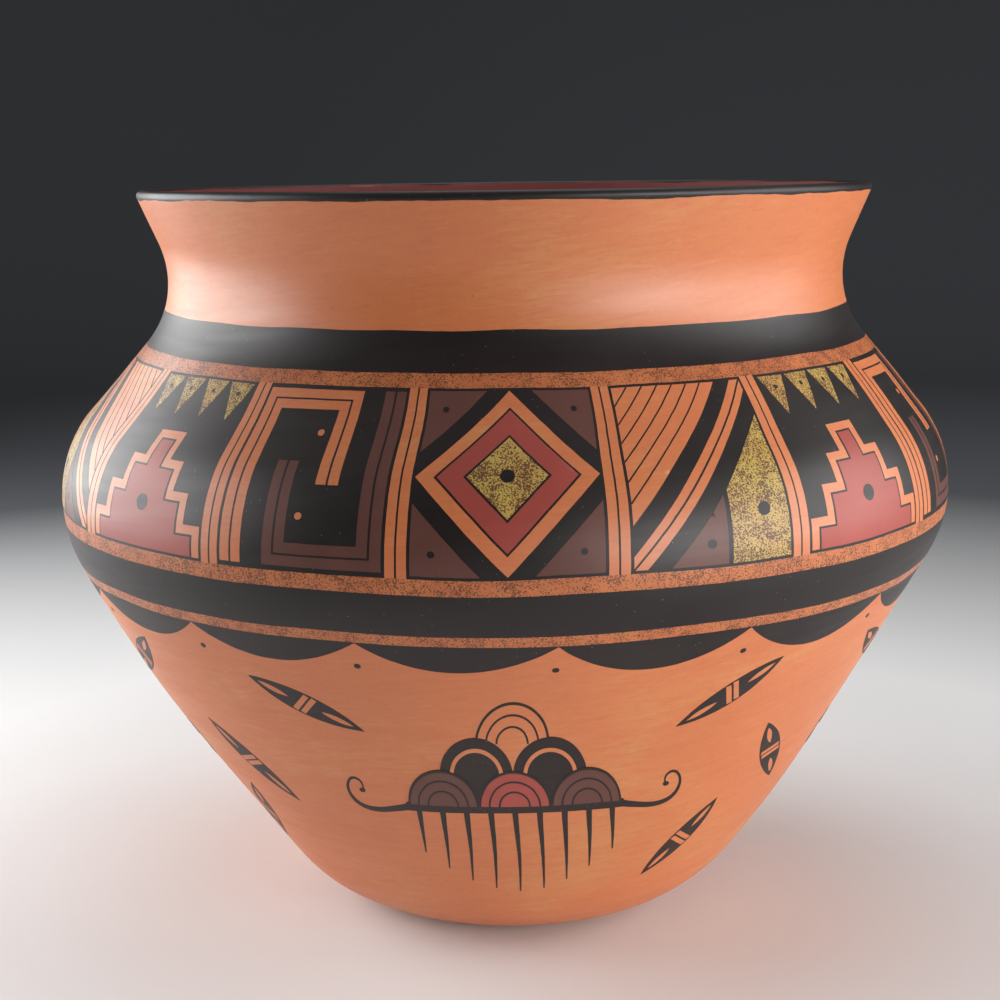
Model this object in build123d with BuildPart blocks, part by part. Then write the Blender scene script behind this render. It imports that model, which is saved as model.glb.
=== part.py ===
"""Pueblo pottery jar, built up from a moulded base and ropes of clay, then slipped, painted and fired.

Millimetres, +Z up. The origin is the middle of the flat that the jar stands on.
Sections are drawn on the XZ plane, radius to the right and height upwards, and turned about Z.
"""
from build123d import *
import os
from math import acos, asin, atan2, cos, degrees, radians, sin, sqrt

# Outside of the wall, from the ground up
foot_radius = 49.0
foot_round = 66.0
lower_wall_round = 1000.0
belly_radius = 190.0
belly_height = 184.5
belly_round = 53.0
shoulder_reach = 46.5
shoulder_rise = 89.0
neck_round = 40.0
neck_length = 37.0
rim_flare = 11.0

# Clay
wall_thickness = 5.5
lip_thickness = 4.2
floor_extra = 2.5

# Ropes of clay: the base takes the first share of the wall's length, and the ropes divide the rest
base_share = 0.22
lower_wall_coils = 6
belly_coils = 2
shoulder_coils = 3
neck_coils = 2
scarf_angle = 30.0

# Slip and paint, drawn thicker than the brush lays them and a little clear of the curved clay
paint_thickness = 0.5
paint_clearance = 0.15
lip_paint_depth = 3.3
interior_slip_depth = 72.0
upper_band_drop = 11.9
upper_band_width = 14.1
upper_ribbon_width = 4.7
frieze_drop = 2.2
middle_ribbon_width = 5.8
lower_band_width = 15.6
lower_ribbon_width = 4.4

# Scallops that close the painting below, and the dots under the points between them
scallop_count = 16
scallop_depth = 11.2
scallop_gap = 1.0
first_point_angle = 5.6
dot_radius = 1.3
dot_drop = 9.8

# How far a cutting outline runs past what it cuts
overrun = 10.0

# Heights and radii that follow from the sizes above
neck_height = belly_height + shoulder_rise
jar_height = neck_height + neck_length
neck_radius = belly_radius - shoulder_reach
rim_radius = neck_radius + rim_flare
floor_thickness = wall_thickness + floor_extra
lip_round = lip_thickness / 2
lip_centre = Vector(rim_radius - lip_round, jar_height - lip_round)

# The belly's and the neck's roundings share the shoulder, and the neck's passes inside the lip
shoulder_room = (shoulder_reach**2 + shoulder_rise**2) / (2 * shoulder_reach)
shoulder_fit = min(1, shoulder_room / (belly_round + neck_round))
lip_reach = lip_centre.X - neck_radius
lip_rise = lip_centre.Y - neck_height
flare_room = (lip_reach**2 + lip_rise**2 - lip_round**2) / (2 * (lip_reach + lip_round))
belly_bend = belly_round * shoulder_fit
neck_bend = min(neck_round * shoulder_fit, flare_room)
foot_centre = Vector(foot_radius, foot_round)
belly_centre = Vector(belly_radius - belly_bend, belly_height)
neck_centre = Vector(neck_radius + neck_bend, neck_height)


def bearing(start, end):
    """Direction from one point of the section to another, in degrees up from the radius."""
    return degrees(atan2(end.Y - start.Y, end.X - start.X))


def facing(start, start_radius, end, end_radius):
    """Way that a line faces where it touches two circles; an outside circle's radius is negative."""
    lean = acos((start_radius - end_radius) / (end - start).length)
    return bearing(start, end) - degrees(lean)


def enclosing_centre(low, low_radius, high, high_radius, radius):
    """Centre of the large circle that touches two smaller ones inside it, on the side of the axis."""
    low_gap = radius - low_radius
    high_gap = radius - high_radius
    span = (high - low).length
    along = (low_gap**2 - high_gap**2 + span**2) / (2 * span)
    across = sqrt(low_gap**2 - along**2)
    direction = (high - low).normalized()
    return low + direction * along + Vector(-direction.Y, direction.X) * across


lower_wall_centre = enclosing_centre(foot_centre, foot_round, belly_centre, belly_bend, lower_wall_round)
foot_facing = bearing(lower_wall_centre, foot_centre)
belly_facing = bearing(lower_wall_centre, belly_centre)
shoulder_facing = facing(belly_centre, belly_bend, neck_centre, -neck_bend)
outer_flare_facing = facing(neck_centre, -neck_bend, lip_centre, lip_round)
inner_flare_facing = facing(neck_centre, -neck_bend - wall_thickness, lip_centre, -lip_round)


def wall_side(depth, ground, flare_facing):
    """One side of the wall, at a depth below its outside, from a height above the ground up to the flare."""
    ground_facing = -degrees(asin((foot_round - ground) / (foot_round - depth)))
    foot = CenterArc(foot_centre, foot_round - depth, ground_facing, foot_facing - ground_facing)
    CenterArc(lower_wall_centre, lower_wall_round - depth, foot_facing, belly_facing - foot_facing)
    belly = CenterArc(belly_centre, belly_bend - depth, belly_facing, shoulder_facing - belly_facing)
    neck = CenterArc(neck_centre, neck_bend + depth, shoulder_facing + 180, flare_facing - shoulder_facing)
    Line(belly @ 1, neck @ 0)
    return foot @ 0, neck @ 1


def wall_section(growth):
    """Half section of the jar, with every face moved outwards by a growth."""
    with BuildSketch(Plane.XZ) as section:
        with BuildLine():
            outside_foot, outside_neck = wall_side(-growth, -growth, outer_flare_facing)
            inside_foot, inside_neck = wall_side(
                wall_thickness + growth, floor_thickness + growth, inner_flare_facing
            )
            lip_turn = inner_flare_facing + 180 - outer_flare_facing
            lip = CenterArc(lip_centre, lip_round + growth, outer_flare_facing, lip_turn)
            Line(outside_neck, lip @ 0)
            Line(lip @ 1, inside_neck)
            Polyline(outside_foot, (0, -growth), (0, floor_thickness + growth), inside_foot)
        make_face()
    return section.sketch_local


clay_section = wall_section(0)

with BuildSketch(Plane.XZ) as coat:
    add(wall_section(paint_clearance + paint_thickness))
    add(wall_section(paint_clearance), mode=Mode.SUBTRACT)
coat_section = coat.sketch_local

lip_start = lip_centre + Vector(lip_round, 0).rotate(Axis.Z, outer_flare_facing)
with BuildLine() as outside:
    neck_end = wall_side(0, 0, outer_flare_facing)[1]
    Line(neck_end, lip_start)
outside_wire = outside.wire()


def joint(distance, beyond=0):
    """Outside and inside ends of the bevelled joint at a distance up the wall, each run past its face."""
    upwards = outside_wire.tangent_at(distance, PositionMode.LENGTH)
    place = outside_wire.position_at(distance, PositionMode.LENGTH) + upwards * beyond
    inwards = upwards.rotate(Axis.Z, 90 + scarf_angle)
    return [place - inwards * overrun, place + inwards * (wall_thickness + overrun)]


def clay_course(name, corners):
    """Ring of clay that lies between the joints at the corners of its outline."""
    with BuildPart() as course:
        with BuildSketch(Plane.XZ):
            add(clay_section)
            with BuildLine():
                Polyline(*corners, close=True)
            make_face(mode=Mode.INTERSECT)
        revolve(axis=Axis.Z)
    course.part.label = name
    export_step(course.part, f"parts/{name}.step")


def coat_strips(low, high):
    """Sections of the coat between two heights, from the axis outwards."""
    with BuildSketch(Plane.XZ) as strips:
        add(coat_section)
        with Locations((0, (low + high) / 2)):
            Rectangle(2 * (belly_radius + overrun), high - low, mode=Mode.INTERSECT)
    return strips.sketch_local.faces().sort_by(Axis.X)


def painted_ring(name, strip):
    """Skin of paint or slip that goes all the way round."""
    with BuildPart() as ring:
        with BuildSketch(Plane.XZ):
            add(strip)
        revolve(axis=Axis.Z)
    ring.part.label = name
    export_step(ring.part, f"parts/{name}.step")


os.makedirs("parts", exist_ok=True)

# Clay: the base, then the ropes one on another, the last of them rounded over as the lip
coil_names = [f"lower_wall_coil_{n + 1}" for n in range(lower_wall_coils)]
coil_names += [f"belly_coil_{n + 1}" for n in range(belly_coils)]
coil_names += [f"shoulder_coil_{n + 1}" for n in range(shoulder_coils)]
coil_names += [f"neck_coil_{n + 1}" for n in range(neck_coils)]
coil_names += ["rim_coil"]

base_length = outside_wire.length * base_share
coil_width = (outside_wire.length - base_length) / len(coil_names)
joints = [joint(base_length + coil_width * n) for n in range(len(coil_names))]
joints += [joint(outside_wire.length, overrun)]

base_outside, base_inside = joints[0]
base_floor = [(0, base_inside.Y), (0, -overrun), (base_outside.X, -overrun)]
clay_course("base", [*base_floor, base_outside, base_inside])
for coil_name, lower_joint, upper_joint in zip(coil_names, joints, joints[1:]):
    clay_course(coil_name, [*lower_joint, *reversed(upper_joint)])

# Black over the lip, and red slip below it on the inside
lip_paint_bottom = jar_height - lip_paint_depth
painted_ring("lip_paint", coat_strips(lip_paint_bottom, jar_height + overrun)[0])
painted_ring("interior_slip", coat_strips(lip_paint_bottom - interior_slip_depth, lip_paint_bottom)[0])

# Painted bands from the neck down, each starting where the one above ends
upper_band_top = neck_height - upper_band_drop
upper_ribbon_top = upper_band_top - upper_band_width
frieze_top = upper_ribbon_top - upper_ribbon_width
frieze_bottom = belly_height - frieze_drop
lower_band_top = frieze_bottom - middle_ribbon_width
lower_ribbon_top = lower_band_top - lower_band_width
scallop_top = lower_ribbon_top - lower_ribbon_width

band_names = ["upper_black_band", "upper_speckled_ribbon", "frieze_ground"]
band_names += ["middle_speckled_ribbon", "lower_black_band", "lower_speckled_ribbon"]
band_edges = [upper_band_top, upper_ribbon_top, frieze_top, frieze_bottom]
band_edges += [lower_band_top, lower_ribbon_top, scallop_top]
for band_name, band_top, band_bottom in zip(band_names, band_edges, band_edges[1:]):
    painted_ring(band_name, coat_strips(band_bottom, band_top)[-1])

# One scallop and one dot on the front, then copies of both round the jar
scallop_pitch = 360 / scallop_count
scallop_strip = coat_strips(scallop_top - scallop_depth - scallop_gap, scallop_top)[-1]
scallop_radius = scallop_strip.bounding_box().max.X
scallop_half = scallop_radius * sin(radians(scallop_pitch / 2)) - scallop_gap / 2

with BuildPart() as scallop:
    with BuildSketch(Plane.XZ):
        add(scallop_strip)
    revolve(axis=Axis.Z)
    with BuildSketch(Plane.XZ):
        with BuildLine():
            left, right = (-scallop_half, scallop_top), (scallop_half, scallop_top)
            ThreePointArc(left, (0, scallop_top - scallop_depth), right)
            Line(right, left)
        make_face()
    extrude(amount=scallop_radius + overrun, mode=Mode.INTERSECT)

with BuildPart() as scallop_band:
    with PolarLocations(0, scallop_count, first_point_angle + scallop_pitch / 2):
        add(scallop.part)
scallop_band.part.label = "scallop_band"
export_step(scallop_band.part, "parts/scallop_band.step")

dot_height = scallop_top - dot_drop
with BuildPart() as dot:
    with BuildSketch(Plane.XZ):
        add(coat_strips(dot_height - dot_radius * 2, dot_height + dot_radius * 2)[-1])
    revolve(axis=Axis.Z)
    with BuildSketch(Plane.XZ):
        with Locations((0, dot_height)):
            Circle(dot_radius)
    extrude(amount=scallop_radius + overrun, mode=Mode.INTERSECT)

with BuildPart() as scallop_dots:
    with PolarLocations(0, scallop_count, first_point_angle):
        add(dot.part)
scallop_dots.part.label = "scallop_dots"
export_step(scallop_dots.part, "parts/scallop_dots.step")
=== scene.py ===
"""Looks of the pueblo pottery jar: burnished clay, painted bands, a frieze and scallops, in metres."""
from collections import defaultdict
from math import acos, asin, atan2, cos, degrees, pi, radians, sin, sqrt

import bpy
import numpy as np
from mathutils import Matrix, Vector
from mathutils.geometry import delaunay_2d_cdt


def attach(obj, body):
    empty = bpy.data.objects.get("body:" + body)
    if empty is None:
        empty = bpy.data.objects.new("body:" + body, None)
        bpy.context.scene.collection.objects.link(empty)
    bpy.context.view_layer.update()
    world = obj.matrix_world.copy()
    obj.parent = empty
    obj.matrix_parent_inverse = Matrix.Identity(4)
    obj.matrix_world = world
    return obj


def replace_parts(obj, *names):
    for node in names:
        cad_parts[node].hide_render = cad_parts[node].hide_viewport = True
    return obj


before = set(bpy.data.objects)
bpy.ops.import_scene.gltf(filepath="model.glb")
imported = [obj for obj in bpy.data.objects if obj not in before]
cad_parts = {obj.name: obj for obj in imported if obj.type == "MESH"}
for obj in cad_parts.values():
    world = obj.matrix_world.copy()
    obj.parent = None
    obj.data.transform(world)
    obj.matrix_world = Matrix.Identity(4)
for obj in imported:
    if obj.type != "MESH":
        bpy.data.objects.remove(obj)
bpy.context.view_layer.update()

MM = 0.001
FULL_TURN = 2 * pi

# Outside of the wall, from the ground up
FOOT_RADIUS = 0.049
FOOT_ROUND = 0.066
LOWER_WALL_ROUND = 1.000
BELLY_RADIUS = 0.190
BELLY_HEIGHT = 0.1845
BELLY_ROUND = 0.053
SHOULDER_REACH = 0.0465
SHOULDER_RISE = 0.089
NECK_ROUND = 0.040
NECK_LENGTH = 0.037
RIM_FLARE = 0.011

# Clay: the base, then the ropes one on another
WALL = 0.0055
LIP_THICKNESS = 0.0042
FLOOR = 0.008
BASE_SHARE = 0.22
SCARF_ANGLE = 30.0
LONGEST_JOINT = 3 * WALL
COURSES = [f"lower_wall_coil_{n + 1}" for n in range(6)]
COURSES += ["belly_coil_1", "belly_coil_2", "shoulder_coil_1", "shoulder_coil_2", "shoulder_coil_3"]
COURSES += ["neck_coil_1", "neck_coil_2", "rim_coil"]

# Slip and paint: how far each starts below the lip, the neck or the belly, and its width
LIP_PAINT_DEPTH = 0.0033
SLIP_START = 0.0008
SLIP_WIDTH = 0.072
UPPER_BAND_DROP = 0.0119
UPPER_BAND_WIDTH = 0.0141
UPPER_RIBBON_WIDTH = 0.0047
FRIEZE_DROP = 0.0022
MIDDLE_RIBBON_WIDTH = 0.0058
LOWER_BAND_WIDTH = 0.0156
LOWER_RIBBON_WIDTH = 0.0044

# Heights that follow from these
NECK_HEIGHT = BELLY_HEIGHT + SHOULDER_RISE
JAR_HEIGHT = NECK_HEIGHT + NECK_LENGTH
LIP_PAINT_BOTTOM = JAR_HEIGHT - LIP_PAINT_DEPTH
SLIP_TOP = JAR_HEIGHT - SLIP_START
SLIP_BOTTOM = SLIP_TOP - SLIP_WIDTH
UPPER_BAND_TOP = NECK_HEIGHT - UPPER_BAND_DROP
UPPER_RIBBON_TOP = UPPER_BAND_TOP - UPPER_BAND_WIDTH
FRIEZE_TOP = UPPER_RIBBON_TOP - UPPER_RIBBON_WIDTH
FRIEZE_BOTTOM = BELLY_HEIGHT - FRIEZE_DROP
LOWER_BAND_TOP = FRIEZE_BOTTOM - MIDDLE_RIBBON_WIDTH
LOWER_RIBBON_TOP = LOWER_BAND_TOP - LOWER_BAND_WIDTH
SCALLOP_TOP = LOWER_RIBBON_TOP - LOWER_RIBBON_WIDTH

# Paint lies in layers, each a little above the one before, and its edge goes down into the clay
COAT = 0.05 * MM
LAYER = 0.035 * MM
ROOT = 0.05 * MM

# How far ribbons, slip and scallops run on under the paint beside them
RIBBON_TUCK = 0.4 * MM
SLIP_TUCK = 1.2 * MM
SCALLOP_TUCK = 0.3 * MM

# Mesh density
SAMPLE = 0.05 * MM
SAME_PLACE = SAMPLE / 100
ROUND_STEPS = 480
PAINT_STEPS = 720
OUTSIDE_ROW = 2 * MM
INSIDE_ROW = 4 * MM
LIP_ROW = 1 * MM
JOINT_ROW = 0.1 * MM
ROW_TURN = radians(6)
SHARP_EDGE = radians(40)
EDGE_STEP = 1.4 * MM
FILL_STEP = 1.9 * MM
FILL_MARGIN = 0.7 * EDGE_STEP
DISC_POINTS = 28

# Settings of the triangulation: triangles inside the outline alone, and points this near, in mm, are one
INSIDE_ONLY = 1
WELD = 1e-5


# Section of the jar, with each point as radius + height * 1j


def bearing(start, end):
    """Direction from one point of the section to another, in degrees up from the radius."""
    way = end - start
    return degrees(atan2(way.imag, way.real))


def facing(start, start_radius, end, end_radius):
    """Way that a line faces where it touches two circles; an outside circle's radius is negative."""
    return bearing(start, end) - degrees(acos((start_radius - end_radius) / abs(end - start)))


def enclosing_centre(low, low_radius, high, high_radius, radius):
    """Centre of the large circle that touches two smaller ones inside it, on the side of the axis."""
    low_gap = radius - low_radius
    high_gap = radius - high_radius
    span = abs(high - low)
    along = (low_gap**2 - high_gap**2 + span**2) / (2 * span)
    across = sqrt(low_gap**2 - along**2)
    way = (high - low) / span
    return low + way * along + way * 1j * across


LIP_ROUND = LIP_THICKNESS / 2
FOOT_CENTRE = complex(FOOT_RADIUS, FOOT_ROUND)
BELLY_CENTRE = complex(BELLY_RADIUS - BELLY_ROUND, BELLY_HEIGHT)
NECK_CENTRE = complex(BELLY_RADIUS - SHOULDER_REACH + NECK_ROUND, NECK_HEIGHT)
LIP_CENTRE = complex(BELLY_RADIUS - SHOULDER_REACH + RIM_FLARE - LIP_ROUND, JAR_HEIGHT - LIP_ROUND)
LOWER_WALL_CENTRE = enclosing_centre(FOOT_CENTRE, FOOT_ROUND, BELLY_CENTRE, BELLY_ROUND, LOWER_WALL_ROUND)
FOOT_FACING = bearing(LOWER_WALL_CENTRE, FOOT_CENTRE)
BELLY_FACING = bearing(LOWER_WALL_CENTRE, BELLY_CENTRE)
SHOULDER_FACING = facing(BELLY_CENTRE, BELLY_ROUND, NECK_CENTRE, -NECK_ROUND)
OUTER_FLARE_FACING = facing(NECK_CENTRE, -NECK_ROUND, LIP_CENTRE, LIP_ROUND)
INNER_FLARE_FACING = facing(NECK_CENTRE, -NECK_ROUND - WALL, LIP_CENTRE, -LIP_ROUND)


def straight(start, end):
    """Points of a straight stretch of the section and the way that each faces."""
    steps = max(2, int(abs(end - start) / SAMPLE))
    along = np.linspace(0, 1, steps)
    way = (end - start) / abs(end - start)
    return start + (end - start) * along, np.full(steps, -1j * way)


def bend(centre, radius, start_facing, end_facing):
    """Points of a round stretch of the section and the way that each faces."""
    turn = radians(end_facing - start_facing)
    steps = max(2, int(radius * abs(turn) / SAMPLE))
    outwards = np.exp(1j * (radians(start_facing) + turn * np.linspace(0, 1, steps)))
    return centre + radius * outwards, outwards if turn > 0 else -outwards


def section_table():
    """The jar's section from the middle of its underside over the lip to the middle of its floor."""
    ground_facing = -degrees(asin((FOOT_ROUND - FLOOR) / (FOOT_ROUND - WALL)))
    outside = [
        bend(FOOT_CENTRE, FOOT_ROUND, -90, FOOT_FACING),
        bend(LOWER_WALL_CENTRE, LOWER_WALL_ROUND, FOOT_FACING, BELLY_FACING),
        bend(BELLY_CENTRE, BELLY_ROUND, BELLY_FACING, SHOULDER_FACING),
        bend(NECK_CENTRE, NECK_ROUND, SHOULDER_FACING + 180, OUTER_FLARE_FACING + 180),
    ]
    lip = bend(LIP_CENTRE, LIP_ROUND, OUTER_FLARE_FACING, INNER_FLARE_FACING + 180)
    inside = [
        bend(NECK_CENTRE, NECK_ROUND + WALL, INNER_FLARE_FACING + 180, SHOULDER_FACING + 180),
        bend(BELLY_CENTRE, BELLY_ROUND - WALL, SHOULDER_FACING, BELLY_FACING),
        bend(LOWER_WALL_CENTRE, LOWER_WALL_ROUND - WALL, BELLY_FACING, FOOT_FACING),
        bend(FOOT_CENTRE, FOOT_ROUND - WALL, FOOT_FACING, ground_facing),
    ]
    bends = [*outside, lip, *inside]
    stretches = [straight(0j, bends[0][0][0])]
    for before, after in zip(bends, bends[1:]):
        stretches += [before]
        if abs(after[0][0] - before[0][-1]) > SAMPLE:
            stretches += [straight(before[0][-1], after[0][0])]
    stretches += [bends[-1], straight(bends[-1][0][-1], complex(0, FLOOR))]
    places = np.concatenate([stretch[0] for stretch in stretches])
    facings = np.concatenate([stretch[1] for stretch in stretches])
    keep = np.concatenate([[True], np.abs(np.diff(places)) > SAME_PLACE])
    return places[keep], facings[keep], lip[0][0]


PLACES, FACINGS, LIP_START = section_table()
DISTANCES = np.concatenate([[0], np.cumsum(np.abs(np.diff(PLACES)))])
BENDING = np.abs(np.gradient(np.unwrap(np.angle(FACINGS)), DISTANCES))
TOP = int(np.argmax(PLACES.imag))
LIP_START_AT = DISTANCES[np.argmin(np.abs(PLACES - LIP_START))]
WALL_LENGTH = LIP_START_AT - FOOT_RADIUS


def outside_at(height):
    """Distance along the section where the outside reaches a height."""
    return np.interp(height, PLACES.imag[:TOP], DISTANCES[:TOP])


def inside_at(height):
    """Distance along the section where the inside comes down to a height."""
    return np.interp(-height, -PLACES.imag[TOP:], DISTANCES[TOP:])


def radius_at(distance):
    """Radius of the jar at a distance along its section."""
    return np.interp(distance, DISTANCES, PLACES.real)


def joint_inside(distance):
    """Where the bevelled joint that starts at a distance along the outside comes out on the inside."""
    index = np.argmin(np.abs(DISTANCES[:TOP] - distance))
    inwards = FACINGS[index] * 1j * np.exp(1j * radians(90 + SCARF_ANGLE))
    reach = (PLACES[TOP:] - PLACES[index]) * np.conj(inwards)
    elsewhere = (reach.real < 0) | (reach.real > LONGEST_JOINT)
    return DISTANCES[TOP:][np.argmin(np.abs(reach.imag) + elsewhere)]


# Surface of the jar, uneven as hands and brushes leave it


class Unevenness:
    """Smooth hand-made unevenness: waves of many lengths and headings that join up round the jar."""

    def __init__(self, seed, size, shortest, longest, waves=24):
        draw = np.random.default_rng(seed)
        lengths = draw.uniform(shortest, longest, waves)
        headings = draw.uniform(0, FULL_TURN, waves)
        self.round_counts = np.round(FULL_TURN * BELLY_RADIUS / lengths * np.cos(headings))
        self.along = FULL_TURN / lengths * np.sin(headings)
        self.phases = draw.uniform(0, FULL_TURN, waves)
        self.size = size * sqrt(2 / waves)

    def __call__(self, angle, distance):
        """How far the surface or the brush strays at an angle and a distance along the section."""
        total = np.zeros(np.broadcast(angle, distance).shape)
        for count, along, phase in zip(self.round_counts, self.along, self.phases):
            total += np.cos(count * angle + along * distance + phase)
        return total * self.size


# Seed and size of each, then its shortest and longest wave
OUTSIDE_RIPPLE = Unevenness(11, 0.16 * MM, 0.070, 0.220)
INSIDE_RIPPLE = Unevenness(12, 0.35 * MM, 0.025, 0.120)
BRUSH_ROUND = Unevenness(21, 0.18 * MM, 0.040, 0.120)
BRUSH_ALONG = Unevenness(22, 0.18 * MM, 0.040, 0.120)
BRUSH_FINE_ROUND = Unevenness(23, 0.025 * MM, 0.005, 0.012)
BRUSH_FINE_ALONG = Unevenness(24, 0.025 * MM, 0.005, 0.012)
SLIP_EDGE = Unevenness(31, 1.6 * MM, 0.020, 0.150)
LIP_EDGE = Unevenness(32, 0.12 * MM, 0.006, 0.040)
LIP_INNER_EDGE = Unevenness(33, 0.12 * MM, 0.006, 0.050)

# The wall leans to and fro as it rises: how far at the foot, then each rise and what it adds
FOOT_LEAN = 1.8 * MM
LEAN_RISES = [
    (0.040, 0.118, -3.3 * MM),
    (0.145, 0.180, 1.4 * MM),
    (0.214, 0.236, 1.0 * MM),
]


def fade(value, start, end):
    """0 before the start, 1 after the end, and smooth between."""
    share = np.clip((value - start) / (end - start), 0, 1)
    return share * share * (3 - 2 * share)


def surface(angle, distance, lift=0.0):
    """Points of the jar at angles round it and distances along its section, lifted off it."""
    place = np.interp(distance, DISTANCES, PLACES.real) + 1j * np.interp(distance, DISTANCES, PLACES.imag)
    way = np.interp(distance, DISTANCES, FACINGS.real) + 1j * np.interp(distance, DISTANCES, FACINGS.imag)
    way = way / np.abs(way)
    foot = fade(distance, FOOT_RADIUS, FOOT_RADIUS + FOOT_ROUND)
    outer = foot * fade(LIP_START_AT - distance, 0, NECK_LENGTH / 2)
    inner = fade(distance, DISTANCES[TOP], DISTANCES[TOP] + NECK_LENGTH)
    inner = inner * fade(DISTANCES[-1] - distance, 0, FOOT_RADIUS)
    ripple = outer * OUTSIDE_RIPPLE(angle, distance) + inner * INSIDE_RIPPLE(angle, distance)
    point = place + way * (lift + ripple)
    lean = FOOT_LEAN + sum(size * fade(point.imag, low, high) for low, high, size in LEAN_RISES)
    across = point.real * np.sin(angle) + lean
    away = -point.real * np.cos(angle)
    return np.stack(np.broadcast_arrays(across, away, point.imag), axis=-1)


def brushed(angle, distance):
    """Where the brush really went for a line that was meant to pass an angle and a distance."""
    sideways = BRUSH_ROUND(angle, distance) + BRUSH_FINE_ROUND(angle, distance)
    upwards = BRUSH_ALONG(angle, distance) + BRUSH_FINE_ALONG(angle, distance)
    return angle + sideways / radius_at(distance), distance + upwards


def rows_between(start, end, spacing):
    """Distances along the section from one to another, closer where it bends tightly."""
    inner = DISTANCES[(DISTANCES > start) & (DISTANCES < end)]
    fine = np.concatenate([[start], inner, [end]])
    density = np.maximum(1 / spacing, np.interp(fine, DISTANCES, BENDING) / ROW_TURN)
    steps = np.diff(fine) * (density[1:] + density[:-1]) / 2
    effort = np.concatenate([[0], np.cumsum(steps)])
    count = max(2, int(np.ceil(effort[-1])))
    rows = np.interp(np.linspace(0, effort[-1], count + 1), effort, fine)
    return np.concatenate([[start, start + JOINT_ROW], rows[1:-1], [end - JOINT_ROW, end]])


# Meshes


def mesh_piece(name, points, face_sets, materials):
    """Object made of an array of points and arrays of faces, each with the number of its material."""
    mesh = bpy.data.meshes.new(name)
    mesh.vertices.add(len(points))
    mesh.vertices.foreach_set("co", np.asarray(points, np.float32).ravel())
    corners = np.concatenate([faces.ravel() for faces, number in face_sets])
    sizes = np.concatenate([np.full(len(faces), faces.shape[1]) for faces, number in face_sets])
    numbers = np.concatenate([np.full(len(faces), number) for faces, number in face_sets])
    mesh.loops.add(len(corners))
    mesh.loops.foreach_set("vertex_index", corners.astype(np.int32))
    mesh.polygons.add(len(sizes))
    mesh.polygons.foreach_set("loop_start", (np.cumsum(sizes) - sizes).astype(np.int32))
    for material in materials:
        mesh.materials.append(material)
    mesh.polygons.foreach_set("material_index", numbers.astype(np.int32))
    mesh.update(calc_edges=True)
    mesh.validate()
    mesh.shade_smooth()
    mesh.set_sharp_from_angle(angle=SHARP_EDGE)
    piece = bpy.data.objects.new(name, mesh)
    bpy.context.scene.collection.objects.link(piece)
    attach(piece, "root")
    if materials[0] in SLOTS:
        SLOTS[materials[0]]
    return piece


def all_round(steps):
    """Angles of the points of a row that goes all the way round."""
    return np.linspace(0, FULL_TURN, steps, endpoint=False)[None, :]


def ring_faces(rows, steps, closed):
    """Four-cornered faces between rows of points that go all the way round."""
    start = np.arange(rows if closed else rows - 1)[:, None] * steps
    after = (start + steps) % (rows * steps)
    here = np.arange(steps)[None, :]
    beside = (here + 1) % steps
    quads = np.stack([start + here, start + beside, after + beside, after + here], axis=-1)
    return quads.reshape(-1, 4)


def fan_faces(pole, row, steps, downwards):
    """Three-cornered faces that close a row of points at the axis."""
    here = row * steps + np.arange(steps)
    beside = row * steps + (np.arange(steps) + 1) % steps
    poles = np.full(steps, pole)
    return np.stack([poles, beside, here] if downwards else [poles, here, beside], axis=-1)


# Node helpers for materials

USUAL_NOISE = (0.3, 0.7)
STREAK_TILT = (0, radians(6), 0)
SPECK_CORE = 0.5
FAINTEST_SPECK = 0.35
CELLS_IN_CLUSTER = 14
CLUSTER_NOISE = (0.35, 0.70)


def add_node(tree, kind, inputs=None, **settings):
    """Node of a kind, with its settings and its inputs set or linked."""
    made = tree.nodes.new("ShaderNode" + kind)
    for key, value in settings.items():
        setattr(made, key, value)
    for key, value in (inputs or {}).items():
        if isinstance(value, bpy.types.NodeSocket):
            tree.links.new(value, made.inputs[key])
        else:
            made.inputs[key].default_value = value
    return made


def new_material(name, inputs):
    """Empty node material with its shader, and the coordinates of the jar's frame."""
    material = bpy.data.materials.new(name)
    material.use_nodes = True
    tree = material.node_tree
    tree.nodes.clear()
    output = add_node(tree, "OutputMaterial")
    shader = add_node(tree, "BsdfPrincipled", inputs)
    tree.links.new(shader.outputs["BSDF"], output.inputs["Surface"])
    here = add_node(tree, "TexCoord").outputs["Object"]
    return material, tree, shader, here


def stretched(tree, coordinates, scale):
    """Coordinates scaled along each axis."""
    return add_node(tree, "Mapping", {"Vector": coordinates, "Scale": scale}).outputs["Vector"]


def noise(tree, coordinates, lumps, detail=2.0, roughness=0.5, distortion=0.0):
    """Cloudy noise of about so many lumps in a metre."""
    inputs = {"Vector": coordinates, "Scale": lumps, "Detail": detail}
    inputs |= {"Roughness": roughness, "Distortion": distortion}
    return add_node(tree, "TexNoise", inputs).outputs["Fac"]


def spread(tree, value, low, high, out_low=0.0, out_high=1.0):
    """Value stretched from one range to another and kept inside it."""
    inputs = {"Value": value, "From Min": low, "From Max": high, "To Min": out_low, "To Max": out_high}
    return add_node(tree, "MapRange", inputs).outputs["Result"]


def calculated(tree, operation, first, second):
    """Two values added, multiplied or otherwise put together."""
    return add_node(tree, "Math", {0: first, 1: second}, operation=operation).outputs["Value"]


def joined(tree, first, second, weight):
    """A value and a share of another one, added."""
    return calculated(tree, "ADD", first, calculated(tree, "MULTIPLY", second, weight))


def mixed(tree, share, first, second):
    """Two colours mixed by a share."""
    made = add_node(tree, "Mix", {"Factor": share}, data_type="RGBA")
    for socket, colour in ((made.inputs[6], first), (made.inputs[7], second)):
        if isinstance(colour, bpy.types.NodeSocket):
            tree.links.new(colour, socket)
        else:
            socket.default_value = (*colour, 1)
    return made.outputs[2]


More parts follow.
